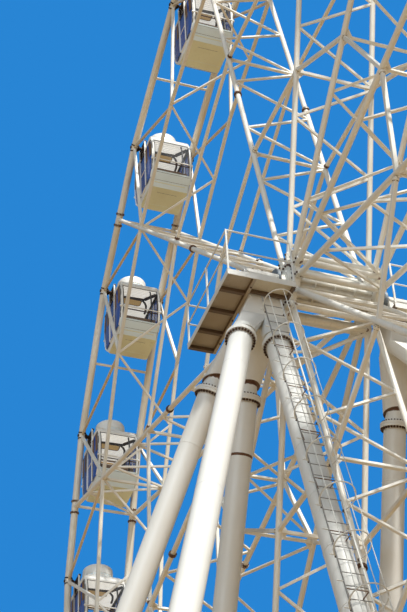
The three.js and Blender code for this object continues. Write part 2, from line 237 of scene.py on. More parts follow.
def mix_colour(tree, factor, first, second):
    sockets = {0: factor, 6: first, 7: second}
    return node(tree, "ShaderNodeMix", sockets, data_type="RGBA").outputs[2]


def math_node(tree, operation, *values):
    return node(tree, "ShaderNodeMath", dict(enumerate(values)), operation=operation).outputs[0]


def stretched(tree, place, scale):
    return node(tree, "ShaderNodeMapping", {"Vector": place, "Scale": scale}).outputs["Vector"]


def bumped(tree, height, strength, distance):
    sockets = {"Height": height, "Strength": strength, "Distance": distance}
    return node(tree, "ShaderNodeBump", sockets).outputs["Normal"]


def weathered_paint_group():
    """Outdoor paint: uneven tint, rain streaks, rust where the rust mark and a noise meet."""
    group = new_group(
        "weathered paint",
        [
            ("Paint", "NodeSocketColor", (0.8, 0.78, 0.7, 1)),
            ("Shade", "NodeSocketColor", (0.6, 0.55, 0.42, 1)),
            ("Dirt", "NodeSocketFloat", 0.5),
            ("Rust", "NodeSocketFloat", 1.0),
        ],
        [("Color", "NodeSocketColor"), ("Roughness", "NodeSocketFloat"), ("Normal", "NodeSocketVector")],
    )
    given = group.nodes["in"].outputs
    place = object_place(group)
    mark = node(group, "ShaderNodeAttribute", attribute_name="rust").outputs["Fac"]

    patches = ramp(group, noise(group, place, 0.8, 3), 0.35, 0.7)
    streaks = ramp(group, noise(group, stretched(group, place, (9, 9, 0.7)), 1.3, 5), 0.45, 0.8)
    dirt = math_node(group, "MULTIPLY", math_node(group, "MAXIMUM", patches, streaks), given["Dirt"])
    paint = mix_colour(group, dirt, given["Paint"], given["Shade"])

    speckle = noise(group, place, 14, 8, 0.7)
    reach = math_node(group, "MULTIPLY", mark, given["Rust"])
    rust = ramp(group, math_node(group, "ADD", speckle, reach), 1.10, 1.22)
    grain = noise(group, place, 45, 4)
    rust_colour = mix_colour(group, grain, (0.05, 0.018, 0.008, 1), (0.20, 0.085, 0.035, 1))

    rough = math_node(group, "MULTIPLY_ADD", rust, 0.35, 0.38)
    fine = math_node(group, "MULTIPLY", noise(group, place, 90, 2), 0.12)
    height = math_node(group, "MULTIPLY_ADD", rust, math_node(group, "MULTIPLY", grain, 1.6), fine)
    set_sockets(group, group.nodes["out"], {
        "Color": mix_colour(group, rust, paint, rust_colour),
        "Roughness": math_node(group, "MULTIPLY_ADD", dirt, 0.18, rough),
        "Normal": bumped(group, height, 0.5, 0.004),
    })
    return group


def material(name):
    made = bpy.data.materials.new(name)
    made.use_nodes = True
    return made, made.node_tree, made.node_tree.nodes["Principled BSDF"]


def painted(name, paint, shade, dirt=0.5, rust=1.0, coat=0.15):
    made, tree, shader = material(name)
    sockets = {"Paint": (*paint, 1), "Shade": (*shade, 1), "Dirt": dirt, "Rust": rust}
    effect = node(tree, "ShaderNodeGroup", node_tree=PAINT_GROUP)
    set_sockets(tree, effect, sockets)
    set_sockets(tree, shader, {
        "Base Color": effect.outputs["Color"], "Roughness": effect.outputs["Roughness"],
        "Normal": effect.outputs["Normal"], "Coat Weight": coat, "Coat Roughness": 0.25,
    })
    return made


def mottled(name, dark, light, roughness, metallic=0.0, scale=20.0):
    """A plain substance whose colour and gloss wander between two values."""
    made, tree, shader = material(name)
    wander = noise(tree, object_place(tree), scale, 6)
    spread = ramp(tree, wander, 0.3, 0.7)
    set_sockets(tree, shader, {
        "Base Color": mix_colour(tree, spread, (*dark, 1), (*light, 1)),
        "Roughness": math_node(tree, "MULTIPLY_ADD", spread, 0.2, roughness),
        "Metallic": metallic,
        "Normal": bumped(tree, wander, 0.3, 0.002),
    })
    return made


def glazed(name, tint, alpha, shine, gloss_floor):
    """Tinted pane: glossy and partly clear, with faint dust."""
    made, tree, shader = material(name)
    place = stretched(tree, object_place(tree), (3, 3, 0.8))
    dust = ramp(tree, noise(tree, place, 2.0, 6), 0.5, 0.85)
    veil = math_node(tree, "MULTIPLY", dust, 0.1)
    set_sockets(tree, shader, {
        "Base Color": mix_colour(tree, veil, (*tint, 1), (0.45, 0.47, 0.46, 1)),
        "Roughness": math_node(tree, "MULTIPLY_ADD", dust, 0.15, gloss_floor),
        "IOR": 1.52,
        "Alpha": alpha,
        "Specular IOR Level": shine,
    })
    return made


def painted_daylight_glow(paint, strength=0.55):
    """Painted light: makes the thin roof's lining glow a little, standing in for the daylight above it.
    """
    tree = paint.node_tree
    shader = tree.nodes["Principled BSDF"]
    colour = shader.inputs["Base Color"].links[0].from_socket
    set_sockets(tree, shader, {"Emission Color": colour, "Emission Strength": strength})


PAINT_GROUP = weathered_paint_group()
lattice_paint = painted("lattice paint", (0.90, 0.88, 0.81), (0.58, 0.51, 0.39), 0.45, 1.0)
rim_paint = painted("rim paint", (0.86, 0.83, 0.74), (0.56, 0.48, 0.35), 0.55, 1.0)
# The light laces get a browner paint: painted shade, for laces that lean away from the light.
lace_painted_shade = painted("lace paint with painted shade", (0.76, 0.62, 0.41), (0.56, 0.42, 0.24), 0.5, 1.0)
leg_paint = painted("leg paint", (0.77, 0.77, 0.74), (0.68, 0.65, 0.57), 0.35, 1.0)
deck_paint = painted("deck panels", (0.48, 0.41, 0.31), (0.33, 0.27, 0.19), 0.7, 0.8)
landing_paint = painted("landing panel", (0.74, 0.68, 0.53), (0.54, 0.46, 0.32), 0.7, 0.8)
# Deck beams are painted near black-brown: painted shade on their undersides and sides, with some rust.
beam_rust_and_shade = painted("deck beams in rust and painted shade", (0.15, 0.095, 0.055), (0.08, 0.05, 0.03), 0.7, 0.8)
collar_paint = painted("bolted collars", (0.20, 0.12, 0.065), (0.10, 0.055, 0.035), 0.7, 1.0)
ladder_paint = painted("ladder paint", (0.76, 0.76, 0.72), (0.50, 0.48, 0.42), 0.45, 0.8)
# Rungs and the left stile are painted dark grey: painted shade on thin parts seen from their shaded
# side.
rung_shade_paint = painted("ladder rungs in painted shade", (0.24, 0.24, 0.23), (0.15, 0.13, 0.11), 0.6, 1.0)
cabin_white = painted("cabin roof", (0.90, 0.90, 0.87), (0.70, 0.68, 0.62), 0.3, 0.3, 0.6)
cabin_grey = painted("cabin side", (0.78, 0.90, 0.94), (0.66, 0.74, 0.74), 0.35, 0.3, 0.4)
cabin_tan = painted("cabin floor", (0.82, 0.84, 0.62), (0.64, 0.62, 0.42), 0.6, 0.7, 0.1)
ceiling_white = painted("ceiling", (0.86, 0.85, 0.80), (0.66, 0.64, 0.58), 0.5, 0.0, 0.1)
ceiling_gold = painted("ceiling panel", (0.46, 0.30, 0.11), (0.28, 0.17, 0.07), 0.5, 0.0, 0.1)
bolt_steel = mottled("bolts", (0.03, 0.018, 0.013), (0.12, 0.06, 0.035), 0.55, 0.4, 60)
bearing_steel = mottled("bearing", (0.018, 0.012, 0.009), (0.08, 0.045, 0.028), 0.45, 0.4, 25)
collar_steel = mottled("bearing collar", (0.12, 0.15, 0.18), (0.28, 0.31, 0.34), 0.4, 0.5, 18)
shaft_steel = mottled("shaft", (0.22, 0.22, 0.22), (0.45, 0.44, 0.42), 0.25, 0.9, 12)
seal_rubber = mottled("seals", (0.012, 0.011, 0.012), (0.04, 0.035, 0.035), 0.5, 0.0, 80)
seat_brown = mottled("seats", (0.14, 0.08, 0.045), (0.28, 0.17, 0.09), 0.55, 0.0, 30)
trim_brown = mottled("ceiling trim", (0.025, 0.014, 0.01), (0.09, 0.045, 0.025), 0.55, 0.0, 30)
pane_clear = glazed("side panes", (0.30, 0.33, 0.36), 0.07, 0.15, 0.3)
pane_blue = glazed("end panes", (0.003, 0.085, 0.46), 0.94, 0.25, 0.15)
# Painted light: the ceiling lining and its panel glow a little, standing in for the daylight that lights
# them.
for lining in (ceiling_white, ceiling_gold):
    painted_daylight_glow(lining)


# Shapes

class Shape:
    """Corners and faces of one piece, each face with its material and each corner with its rust mark."""

    def __init__(self):
        self.points = []
        self.rust = []
        self.faces = []
        self.paints = []
        self.materials = []

    def add(self, points, faces, paint, rust=0.0):
        first = len(self.points)
        self.points.extend(tuple(point) for point in points)
        self.rust.extend(rust if isinstance(rust, list) else [rust] * len(points))
        if paint not in self.materials:
            self.materials.append(paint)
        slot = self.materials.index(paint)
        for face in faces:
            self.faces.append(tuple(first + corner for corner in face))
            self.paints.append(slot)


def basis(direction, towards=None):
    """Two directions square to the given one, the first as near as can be to towards."""
    along = direction.normalized()
    hint = Vector(towards) if towards else Vector((0.31, 0.93, 0.17))
    first = hint - along * hint.dot(along)
    if first.length < 1e-4:
        first = along.orthogonal()
    first.normalize()
    return first, along.cross(first)


def ring(centre, first, second, radius, sides, start=0.0):
    points = []
    for step in range(sides):
        angle = start + 2 * math.pi * step / sides
        points.append(centre + first * (radius * math.cos(angle)) + second * (radius * math.sin(angle)))
    return points


def oblong(half_x, half_y, level, corner):
    """A level rectangle with rounded corners."""
    points = []
    steps = 5
    for quarter, (sign_x, sign_y) in enumerate(((1, 1), (-1, 1), (-1, -1), (1, -1))):
        for step in range(steps):
            angle = math.pi / 2 * (quarter + step / (steps - 1))
            x = sign_x * (half_x - corner) + corner * math.cos(angle)
            y = sign_y * (half_y - corner) + corner * math.sin(angle)
            points.append(Vector((x, y, level)))
    return points


def chamfered(half_x, half_y, cut):
    """Outline of a rectangle with its corners cut, as pairs about its middle."""
    return [
        (half_x, -half_y + cut), (half_x, half_y - cut), (half_x - cut, half_y), (-half_x + cut, half_y),
        (-half_x, half_y - cut), (-half_x, -half_y + cut),
        (-half_x + cut, -half_y), (half_x - cut, -half_y),
    ]


def level_frame(x0, x1, y0, y1, level, cut=0.02):
    """A level rectangle with its corners cut."""
    outline = chamfered(abs(x1 - x0) / 2, abs(y1 - y0) / 2, cut)
    return [Vector(((x0 + x1) / 2 + x, (y0 + y1) / 2 + y, level)) for x, y in outline]


def level_rectangle(xs, ys, level, steps=8):
    """Points round a level rectangle, as many on each side."""
    (x0, x1), (y0, y1) = sorted(xs), sorted(ys)
    corners = [Vector((x, y, level)) for x, y in ((x1, y0), (x1, y1), (x0, y1), (x0, y0))]
    sides = zip(corners, corners[1:] + corners[:1])
    return [a.lerp(b, step / steps) for a, b in sides for step in range(steps)]


def loft(shape, rings, paint, rust=0.0, ends=BOTH_ENDS):
    """A skin over rings of equally many points, closed at the ends that are asked for."""
    sides = len(rings[0])
    points = [point for one in rings for point in one]
    marks = rust if isinstance(rust, list) else [rust] * len(rings)
    faces = []
    for level in range(len(rings) - 1):
        for step in range(sides):
            following = (step + 1) % sides
            low = level * sides
            faces.append((low + step, low + following, low + sides + following, low + sides + step))
    if ends[0]:
        faces.append(tuple(reversed(range(sides))))
    if ends[1]:
        faces.append(tuple(range((len(rings) - 1) * sides, len(rings) * sides)))
    shape.add(points, faces, paint, [mark for mark in marks for _ in range(sides)])


def turned(shape, start, direction, profile, sides, paint, rust=0.0, ends=BOTH_ENDS):
    """A body of revolution: profile gives pairs of distance along the axis and radius."""
    start, direction = Vector(start), Vector(direction).normalized()
    first, second = basis(direction)
    rings = [ring(start + direction * along, first, second, radius, sides) for along, radius in profile]
    loft(shape, rings, paint, rust, ends)


def eased(length, radius, cut=0.012):
    """Profile of a drum with its two edges cut."""
    return [(0, radius - cut), (cut, radius), (length - cut, radius), (length, radius - cut)]


def sleeve(near, far, length):
    """Profile of a band that lies round something, from its inside over its outside."""
    return [(0, near), (0, far), (length, far), (length, near)]


def tube(shape, a, b, radius, paint, sides=12, rust=0.5, fade=0.35):
    """A straight round tube, marked for rust near its two ends."""
    a, b = Vector(a), Vector(b)
    length = (b - a).length
    fade = min(fade, length * 0.4)
    profile = [(0, radius), (fade, radius), (length - fade, radius), (length, radius)]
    turned(shape, a, b - a, profile, sides, paint, [rust, 0.0, 0.0, rust], OPEN)


def square_bar(shape, a, b, half, paint, flat=Y, rust=0.4, fade=0.25, base=0.0):
    """A straight square tube with one side towards flat, marked for rust near its two ends."""
    a, b = Vector(a), Vector(b)
    along = (b - a).normalized()
    length = (b - a).length
    fade = min(fade, length * 0.4)
    first, second = basis(along, flat)
    outline = chamfered(half, half, half * 0.18)
    rings = []
    for at in (0, fade, length - fade, length):
        rings.append([a + along * at + first * x + second * y for x, y in outline])
    loft(shape, rings, paint, [rust, base, base, rust], OPEN)


def pipe(shape, path, radius, paint, sides=10, rust=0.0, closed=False):
    """A tube along a bent path, mitred at its corners."""
    path = [Vector(point) for point in path]
    count = len(path)
    rings = []
    towards = None
    for index, point in enumerate(path):
        before = path[index - 1] if index > 0 or closed else None
        after = path[(index + 1) % count] if index + 1 < count or closed else None
        leave = (after - point).normalized() if after is not None else (point - before).normalized()
        arrive = (point - before).normalized() if before is not None else leave
        middle = (leave + arrive).normalized()
        first, second = basis(middle, towards)
        towards = first
        stretch = 1 / max(0.5, middle.dot(leave))
        bend = leave - arrive
        points = ring(point, first, second, radius, sides)
        if bend.length > 1e-4:
            bend.normalize()
            points = [p + bend * ((p - point).dot(bend) * (stretch - 1)) for p in points]
        rings.append(points)
    if closed:
        rings.append(rings[0])
    loft(shape, rings, paint, rust, OPEN if closed else BOTH_ENDS)


def box(shape, centre, size, paint, axes=(X, Y, Z), rust=0.0, chamfer=0.0):
    """A block, with its edges chamfered where that is asked for."""
    centre = Vector(centre)
    right, deep, up = axes
    half_x, half_y, half_z = (value / 2 for value in size)
    cut = min(chamfer, half_x * 0.45, half_y * 0.45)
    if cut > 0:
        outline = chamfered(half_x, half_y, cut)
        levels = ((-half_z, cut), (-half_z + cut, 0), (half_z - cut, 0), (half_z, cut))
    else:
        outline = [(half_x, -half_y), (half_x, half_y), (-half_x, half_y), (-half_x, -half_y)]
        levels = ((-half_z, 0), (half_z, 0))
    rings = []
    for level, shrink in levels:
        scale_x = (half_x - shrink) / half_x
        scale_y = (half_y - shrink) / half_y
        rings.append([
            centre + right * (x * scale_x) + deep * (y * scale_y) + up * level for x, y in outline
        ])
    loft(shape, rings, paint, rust)


def plate(shape, outline, half, paint, rust=0.0):
    """A flat plate that reaches as far as half to each side of its outline."""
    rings = [[corner - half for corner in outline], [corner + half for corner in outline]]
    loft(shape, rings, paint, rust)


def beam(shape, a, b, width, height, paint, up=Z, rust=0.2, chamfer=0.008):
    """A box beam from a to b."""
    a, b = Vector(a), Vector(b)
    along = (b - a).normalized()
    rise = up - along * up.dot(along)
    rise.normalize()
    side = rise.cross(along)
    box(shape, (a + b) / 2, (width, height, (b - a).length), paint, (side, rise, along), rust, chamfer)


def bolt(shape, place, direction, size, height):
    """A hexagon head standing on a face."""
    profile = [(0, size), (height * 0.8, size), (height, size * 0.75)]
    turned(shape, place, direction, profile, 6, bolt_steel, 0.0, LAST_END)


def bolt_circle(shape, centre, direction, radius, count, size, height, start=0.0):
    """Hexagon heads in a circle about the middle of a face."""
    first, second = basis(Vector(direction))
    for place in ring(Vector(centre), first, second, radius, count, start):
        bolt(shape, place, direction, size, height)


def flange_pair(shape, centre, direction, sizes, paint, rust):
    """Two discs face to face, bolted through."""
    radius, thickness, bolts, bolt_size = sizes
    centre, direction = Vector(centre), Vector(direction).normalized()
    half = thickness + 0.003
    profile = [
        (-half, radius * 0.96), (-half + 0.004, radius), (-0.004, radius), (-0.003, radius * 0.97),
        (0.003, radius * 0.97), (0.004, radius), (half - 0.004, radius), (half, radius * 0.96),
    ]
    turned(shape, centre, direction, profile, 20, paint, rust)
    for out in (direction, -direction):
        circle = radius - 1.6 * bolt_size
        bolt_circle(shape, centre + out * half, out, circle, bolts, bolt_size, bolt_size * 1.3)


def finish_mesh(shape, matrix=None):
    """The mesh of a shape, moved by the matrix where one is given."""
    mesh = bpy.data.meshes.new("piece")
    mesh.from_pydata(shape.points, [], shape.faces)
    for paint in shape.materials:
        mesh.materials.append(paint)
    mesh.polygons.foreach_set("material_index", shape.paints)
    mesh.polygons.foreach_set("use_smooth", [True] * len(mesh.polygons))
    mark = mesh.attributes.new("rust", "FLOAT", "POINT")
    mark.data.foreach_set("value", shape.rust)
    if matrix is not None:
        mesh.transform(matrix)
    mesh.set_sharp_from_angle(angle=math.radians(SMOOTH_ANGLE))
    mesh.update()
    return mesh


def put(name, mesh, body, replaced):
    mesh.name = name
    piece = bpy.data.objects.new(name, mesh)
    bpy.context.scene.collection.objects.link(piece)
    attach(piece, body)
    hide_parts(*replaced)


def put_look(name, mesh, body):
    """Puts the look of one node of the frame in its place."""
    put(name + "_look", mesh, body, [name])


def moved_copy(mesh, matrix):
    copy = mesh.copy()
    copy.transform(matrix)
    return copy


def on_wheel(radius, y, degrees):
    """A point of the wheel about its own middle, with no turn at +X."""
    angle = math.radians(degrees)
    return Vector((radius * math.cos(angle), y, radius * math.sin(angle)))


def wheel_matrix(degrees):
    return Matrix.Translation(HUB) @ Matrix.Rotation(-math.radians(degrees), 4, "Y")


# Wheel

def spoke_shape():
    """One spoke along +X with its laces, and the hoop tubes to the next spoke."""
    shape = Shape()
    end = RIM_MID - OUTER_TUBE - BRIM
    start = HUB_FLAT + BRIM
    stations = [HUB_STRUT_AT, *HOOP_RADII, INNER_RING, end - SPOKE_STRUT]
    for y in (-SIDE, SIDE):
        spoke_chord(shape, y, start, end, stations)
    strut = (HUB_STRUT_AT, -SIDE, 0), (HUB_STRUT_AT, SIDE, 0)
    tube(shape, *strut, HUB_STRUT, lattice_paint, 14, 0.75, 0.25)
    for x in stations[1:]:
        square_bar(shape, (x, -SIDE, 0), (x, SIDE, 0), SPOKE_STRUT, lattice_paint, Z, 0.5)
    for bay in range(len(stations) - 1):
        steps = 2 if bay == len(stations) - 2 else 4
        first = stations[bay] + LACE_SHIFT
        run = (stations[bay + 1] - LACE_SHIFT - first) / steps
        for step in range(steps):
            y = SIDE if step % 2 == 0 else -SIDE
            x = first + step * run
            square_bar(shape, (x, y, 0), (x + run, -y, 0), SPOKE_LACE, lattice_paint, Z, 0.45)
    for radius in HOOP_RADII:
        for y in (-SIDE, SIDE):
            a, b = on_wheel(radius, y, 0), on_wheel(radius, y, SECTOR)
            along = (b - a).normalized()
            square_bar(shape, a, b - along * (SPOKE_TUBE + BRIM), HOOP_BAR, lattice_paint, Y, 0.5)
            # Collars are dark brown, for rust and painted shade, except on the near inner hoop, where
            # they take the rim paint.
            light = radius == HOOP_RADII[0] and y < 0
            paint, rust = (rim_paint, 0.35) if light else (collar_paint, 0.9)
            flange_pair(shape, b - along * (SPOKE_TUBE + 0.05), along, HOOP_FLANGE, paint, rust)
    return shape


def spoke_chord(shape, y, start, end, stations):
    """One long tube of a spoke, with its gussets, its flanges and the shoe that bolts it to the hub."""
    length = end - start
    profile = [(at, SPOKE_TUBE) for at in (0, 0.25, length - 0.25, length)]
    turned(shape, (start, y, 0), X, profile, 14, lattice_paint, [0.4, 0.0, 0.0, 0.45], LAST_END)
    inward = -1 if y > 0 else 1
    for x in stations[1:-1]:
        for slope in (-1, 1):
            corner = Vector((x, y + inward * SPOKE_TUBE * 0.7, 0))
            corners = [corner, corner + X * (slope * 0.2), corner + Y * (inward * 0.17)]
            plate(shape, corners, Z * 0.006, lattice_paint, 0.4)
    ring_paint = lattice_paint if y > 0 else collar_paint
    flange_pair(shape, (CHORD_JOINT, y, 0), X, CHORD_FLANGE, ring_paint, 0.7)
    box(shape, (start + 0.11, y, 0), (0.2, 0.15, 0.1), lattice_paint, rust=0.45, chamfer=0.012)
    for x in (start + 0.06, start + 0.16):
        bolt(shape, (x, y - inward * 0.075, 0), (0, -inward, 0), 0.022, 0.026)


def bearing(shape, y, degrees):
    """Clamped bearing on the outer tube, with the block that a cabin's pin turns in."""
    axle = on_wheel(AXLE_RADIUS, y, degrees)
    radial = on_wheel(1, 0, degrees)
    tangent = Y.cross(radial)
    inward = -Y if y > 0 else Y
    axes = (radial, tangent, inward)
    box(shape, axle + inward * 0.098, (0.16, 0.19, 0.03), bearing_steel, axes, 0.6, 0.01)
    block = [(0, 0.072), (0.045, 0.072), (0.055, 0.062), (0.069, 0.06)]
    turned(shape, axle + inward * 0.1, inward, block, 20, bearing_steel)
    bolt_circle(shape, axle + inward * 0.113, inward, 0.1, 4, 0.013, 0.02, math.pi / 4)
    clamp = sleeve(OUTER_TUBE, OUTER_TUBE + 0.012, 0.035)
    for side in (-1, 1):
        direction = on_wheel(AXLE_RADIUS, y, degrees - CABIN_STEP * side) - axle
        direction.normalize()
        turned(shape, axle + direction * 0.075, direction, clamp, 24, bearing_steel, 0.3, OPEN)
        for lug in (-1, 1):
            at = axle + direction * 0.092 + radial * (lug * (OUTER_TUBE + 0.02))
            box(shape, at, (0.05, 0.04, 0.04), bearing_steel, (radial, Y, direction), 0.3)
    cap = [(0, 0.05), (0.02, 0.05), (0.03, 0.035)]
    turned(shape, axle - inward * 0.094, -inward, cap, 12, bearing_steel)


def rim_shape(y, with_ties):
    """One flat quarter of a rim, from a spoke to the third after it."""
    shape = Shape()
    steps = 2 * QUARTER_SECTORS
    path = [on_wheel(RIM_MID, y, 0)]
    path += [on_wheel(AXLE_RADIUS, y, (step + 0.5) * CABIN_STEP) for step in range(steps)]
    path.append(on_wheel(RIM_MID, y, steps * CABIN_STEP))
    for a, b in zip(path, path[1:]):
        tube(shape, a, b, OUTER_TUBE, rim_paint, 20, 0.35, 0.5)
    turns = [math.pi * step / 8 for step in range(1, 8)]
    knee = [(OUTER_TUBE * (1 - math.cos(turn)), OUTER_TUBE * math.sin(turn)) for turn in turns]
    for corner in path[1:-1]:
        turned(shape, corner - Y * OUTER_TUBE, Y, knee, 20, rim_paint, 0.35)
    for step in range(steps):
        angle = (step + 0.5) * CABIN_STEP
        axle = on_wheel(AXLE_RADIUS, y, angle)
        before = on_wheel(INNER_RING, y, step * CABIN_STEP)
        after = on_wheel(INNER_RING, y, (step + 1) * CABIN_STEP)
        shift = (after - before).normalized() * (2 * LACE_SHIFT)
        square_bar(shape, before, after, INNER_BAR, rim_paint, Y, 0.45)
        square_bar(shape, axle, after - shift, HEAVY_LACE, lattice_paint, Y, 0.45)
        # The light laces take the browner paint: painted shade.
        square_bar(shape, before + shift, axle, LIGHT_LACE, lace_painted_shade, Y, 0.5, 0.5, 0.1)
        bearing(shape, y, angle)
    for sector in range(QUARTER_SECTORS + 1):
        rim_joint(shape, y, sector)
    if with_ties:
        rim_ties(shape, steps)
    return shape


def rim_joint(shape, y, sector):
    """Bolted joints of the outer tube on the two sides of a spoke, as far as this quarter has them."""
    angle = sector * SECTOR
    middle = on_wheel(RIM_MID, y, angle)
    for side in (-1, 1):
        if (sector == 0 and side < 0) or (sector == QUARTER_SECTORS and side > 0):
            continue
        along = (on_wheel(AXLE_RADIUS, y, angle + side * CABIN_STEP / 2) - middle).normalized()
        flange_pair(shape, middle + along * RIM_JOINT_OFF, along, RIM_FLANGE, rim_paint, 0.75)


def rim_ties(shape, steps):
    """Light tubes between the two rims."""
    for sector in range(QUARTER_SECTORS):
        middle = (sector + 0.5) * SECTOR
        a, b = on_wheel(RIM_MID, -SIDE, middle), on_wheel(RIM_MID, SIDE, middle)
        square_bar(shape, a, b, TIE + 0.003, rim_paint, on_wheel(1, 0, middle), 0.5)
    mid_radius = INNER_RING * math.cos(math.radians(CABIN_STEP / 2))
    for step in range(steps):
        middle = (step + 0.5) * CABIN_STEP
        apex = on_wheel(mid_radius, SIDE, middle)
        for start in (step, step + 1):
            a = on_wheel(INNER_RING, -SIDE, start * CABIN_STEP)
            square_bar(shape, a, apex, TIE, lattice_paint, on_wheel(1, 0, middle), 0.45)


def hub_shape():
    """The shaft, the two plates that carry the spokes, and the drum of rods between them."""
    shape = Shape()
    shaft = eased(2 * SHAFT_END, SHAFT_RADIUS, 0.015)
    turned(shape, (0, -SHAFT_END, 0), Y, shaft, 40, shaft_steel)
    core = [(0, DRUM_CORE), (2 * SIDE, DRUM_CORE)]
    turned(shape, (0, -SIDE, 0), Y, core, 40, lattice_paint, 0.2, OPEN)
    for step in range(DRUM_RODS):
        a, b = (on_wheel(DRUM_ROD_AT, y, 360 * step / DRUM_RODS) for y in (-SIDE, SIDE))
        tube(shape, a, b, DRUM_ROD, lattice_paint, 10, 0.85, 0.3)
    band = sleeve(DRUM_ROD_AT, DRUM_BAND, 0.024)
    for y in DRUM_BANDS_AT:
        turned(shape, (0, y - 0.012, 0), Y, band, 32, lattice_paint, 0.4, OPEN)
    edge = HUB_FLAT / math.cos(math.pi / SPOKES)
    boss = [(0, 0.3), (0.03, 0.3), (0.05, 0.28), (0.05, 0.2), (0.14, 0.19), (0.15, 0.17),
            (0.15, SHAFT_RADIUS)]
    for out in (-Y, Y):
        face = out * (SIDE + HUB_PLATE / 2)
        turned(shape, face, -out, eased(HUB_PLATE, edge), 48, lattice_paint, 0.35)
        turned(shape, face, out, boss, 40, lattice_paint, 0.5, OPEN)
        bolt_circle(shape, face, out, 0.42, 24, 0.024, 0.03)
        bolt_circle(shape, face + out * 0.03, out, 0.265, 16, 0.014, 0.02)
        turned(shape, out * SHAFT_END, -out, [(0, 0.09), (0.004, 0.095)], 24, bearing_steel)
    return shape


def build_wheel():
    hub = finish_mesh(hub_shape(), wheel_matrix(WHEEL_TURN))
    put("hub", hub, "wheel", ["hub_and_shaft"])
    spoke = finish_mesh(spoke_shape())
    for index in range(SPOKES):
        mesh = moved_copy(spoke, wheel_matrix(WHEEL_TURN + index * SECTOR))
        put_look(f"spoke_{index + 1:02d}", mesh, "wheel")
    for word, y, ties in (("near", -SIDE, True), ("far", SIDE, False)):
        quarter = finish_mesh(rim_shape(y, ties))
        for index in range(QUARTERS):
            mesh = moved_copy(quarter, wheel_matrix(WHEEL_TURN + index * QUARTER_SECTORS * SECTOR))
            put_look(f"rim_{word}_{index + 1}", mesh, "wheel")


# Cabins

def profile_at(height):
    """Half length of the cabin at a height."""
    for (top, wide), (low, narrow) in zip(CABIN_PROFILE, CABIN_PROFILE[1:]):
        if low <= height <= top:
            return wide + (narrow - wide) * (top - height) / (top - low)
    return CABIN_PROFILE[-1][1]


def cross_pipe(shape, x, reach, z, radius, paint, sides=8):
    """A level pipe across the cabin, as far to each side as reach."""
    pipe(shape, [(x, -reach, z), (x, reach, z)], radius, paint, sides)


def cabin_tub(shape):
    """Floor pan from the sill down, with its lining and the seams of its floor."""
    levels = [CABIN_SILL, -1.605, -1.64, -1.68, -1.77, -1.86, -1.93, CABIN_FLOOR]
    rings = []
    for level in levels:
        half_y = CABIN_WIDE - 0.02 * (level < -1.7)
        rings.append(oblong(profile_at(level), half_y, level, 0.05))
    loft(shape, rings, cabin_grey, [0.0, 0.0, 0.0, 0.0, 0.0, 0.1, 0.3, 0.4], OPEN)
    floor = rings[-1]
    shape.add(floor, [tuple(range(len(floor)))], cabin_tan, 0.25)
    inner = oblong(profile_at(CABIN_SILL) - 0.05, CABIN_WIDE - 0.05, CABIN_SILL, 0.04)
    deck = oblong(profile_at(CABIN_DECK) - 0.05, CABIN_WIDE - 0.06, CABIN_DECK, 0.04)
    loft(shape, [rings[0], inner, deck], cabin_white, 0.0, LAST_END)
    box(shape, (0.27, 0, CABIN_FLOOR - 0.001), (0.006, CABIN_WIDE, 0.004), seal_rubber)
    box(shape, (-0.24, 0, CABIN_FLOOR - 0.001), (0.004, 2 * CABIN_WIDE - 0.08, 0.004), cabin_grey)
    for turn in (-1, 1):
        for z in (-1.63, -1.8):
            x = turn * (profile_at(z) + 0.001)
            cross_pipe(shape, x, CABIN_WIDE - 0.06, z, 0.004, seal_rubber, 6)


def cabin_roof(shape):
    """Grooved roof: bands that step in towards a shallow crown."""
    bands = [
        (-0.335, 0.785, 0.595), (-0.31, 0.795, 0.61), (-0.25, 0.785, 0.61), (-0.245, 0.765, 0.60),
        (-0.165, 0.735, 0.60), (-0.16, 0.745, 0.61), (-0.145, 0.735, 0.61), (-0.14, 0.71, 0.595),
        (-0.07, 0.63, 0.575), (-0.065, 0.61, 0.565), (0.0, 0.54, 0.545), (0.005, 0.525, 0.54),
        (0.05, 0.46, 0.5), (0.068, 0.42, 0.46),
    ]
    rings = [oblong(half, across, level, 0.08) for level, half, across in bands]
    loft(shape, rings, cabin_white, 0.0, LAST_END)
    lining = oblong(0.745, 0.56, CABIN_HEAD + 0.02, 0.06)
    loft(shape, [rings[0], lining], ceiling_white, 0.0, LAST_END)


def cabin_cooler(shape):
    """Round cooler on the roof, with louvres round its foot."""
    profile = [
        (0.05, 0.43), (0.12, 0.435), (0.125, 0.42), (0.2, 0.425), (0.205, 0.438), (0.34, 0.438),
        (0.345, 0.432), (0.445, 0.43), (0.47, 0.415), (0.483, 0.38), (0.487, 0.15),
    ]
    turned(shape, (0, 0, 0), Z, profile, 48, cabin_white)
    for out in ring(Vector(), X, Y, 1, COOLER_LOUVRES):
        box(shape, out * 0.424 + Z * 0.165, (0.06, 0.01, 0.03), cabin_grey, (Z.cross(out), out, Z))


def cabin_side(shape, turn):
    """One long side: posts at its corners, a pane that follows the bulge, and a rail outside."""

    def upright(back, y, radius, paint, sides):
        path = [(turn * (profile_at(z) - back), y, z) for z in WINDOW_LEVELS]
        pipe(shape, path, radius, paint, sides)

    for y in (-1, 1):
        upright(0.034, y * (CABIN_WIDE - 0.04), 0.032, cabin_white, 10)
        upright(0.045, y * (CABIN_WIDE + 0.002), 0.014, seal_rubber, 8)
        upright(0.02, y * (CABIN_WIDE - 0.078), 0.009, seal_rubber, 6)
    for z in (CABIN_HEAD - 0.004, CABIN_SILL + 0.012):
        cross_pipe(shape, turn * (profile_at(z) - 0.028), CABIN_WIDE - 0.03, z, 0.012, seal_rubber)
    y = CABIN_WIDE - 0.07
    rings = []
    for z in WINDOW_LEVELS:
        x = profile_at(z) - 0.02
        corners = ((0, -y), (0, y), (0.006, y), (0.006, -y))
        rings.append([Vector((turn * (x - back), across, z)) for back, across in corners])
    loft(shape, rings, pane_clear, 0.0, OPEN)
    upright(0.1, turn * 0.35, 0.022, seal_rubber, 8)
    cabin_rail(shape, turn)


